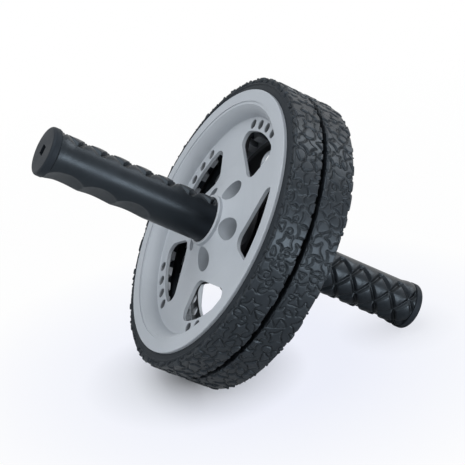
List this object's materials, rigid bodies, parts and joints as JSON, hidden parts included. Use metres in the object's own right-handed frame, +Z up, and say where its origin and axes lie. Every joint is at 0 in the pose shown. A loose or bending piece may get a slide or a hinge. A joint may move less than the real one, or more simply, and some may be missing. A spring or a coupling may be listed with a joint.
{
  "type": "ab wheel roller",
  "caption": "Floor exercise roller: two rubber-tyred moulded wheels turn side by side on a steel axle with a soft hand grip at each end.",
  "frame": {"origin": "centre of the wheel pair, on the axle axis", "axes": "+Y along the axle to the right grip, +Z up with the roller standing on both tyres"},
  "size_m": [0.185, 0.262, 0.185],
  "materials": {
    "axle_steel": "satin",
    "disc_plastic": "satin",
    "tyre_rubber": "matte",
    "bush_plastic": "satin",
    "core_plastic": "satin",
    "grip_rubber": "matte",
    "cap_plastic": "satin",
    "screw_steel": "zinc plated"
  },
  "bodies": {
    "handlebar": {"axle_rod": "axle_steel", "centre_spacer": "bush_plastic", "left_thrust_washer": "bush_plastic", "left_handle_core": "core_plastic", "left_grip": "grip_rubber", "left_end_cap": "cap_plastic", "left_retaining_screw": "screw_steel", "left_retaining_washer": "screw_steel", "right_thrust_washer": "bush_plastic", "right_handle_core": "core_plastic", "right_grip": "grip_rubber", "right_end_cap": "cap_plastic", "right_retaining_screw": "screw_steel", "right_retaining_washer": "screw_steel"},
    "left_wheel": {"left_disc": "disc_plastic", "left_tyre": "tyre_rubber", "left_inner_bush": "bush_plastic", "left_outer_bush": "bush_plastic"},
    "right_wheel": {"right_disc": "disc_plastic", "right_tyre": "tyre_rubber", "right_inner_bush": "bush_plastic", "right_outer_bush": "bush_plastic"}
  },
  "joints": [
    {"name": "left_wheel_spin", "type": "hinge", "parent": "handlebar", "child": "left_wheel", "pos_m": [0, -0.012, 0], "axis": [0, 1, 0], "continuous": true},
    {"name": "right_wheel_spin", "type": "hinge", "parent": "handlebar", "child": "right_wheel", "pos_m": [0, 0.012, 0], "axis": [0, 1, 0], "continuous": true}
  ]
}
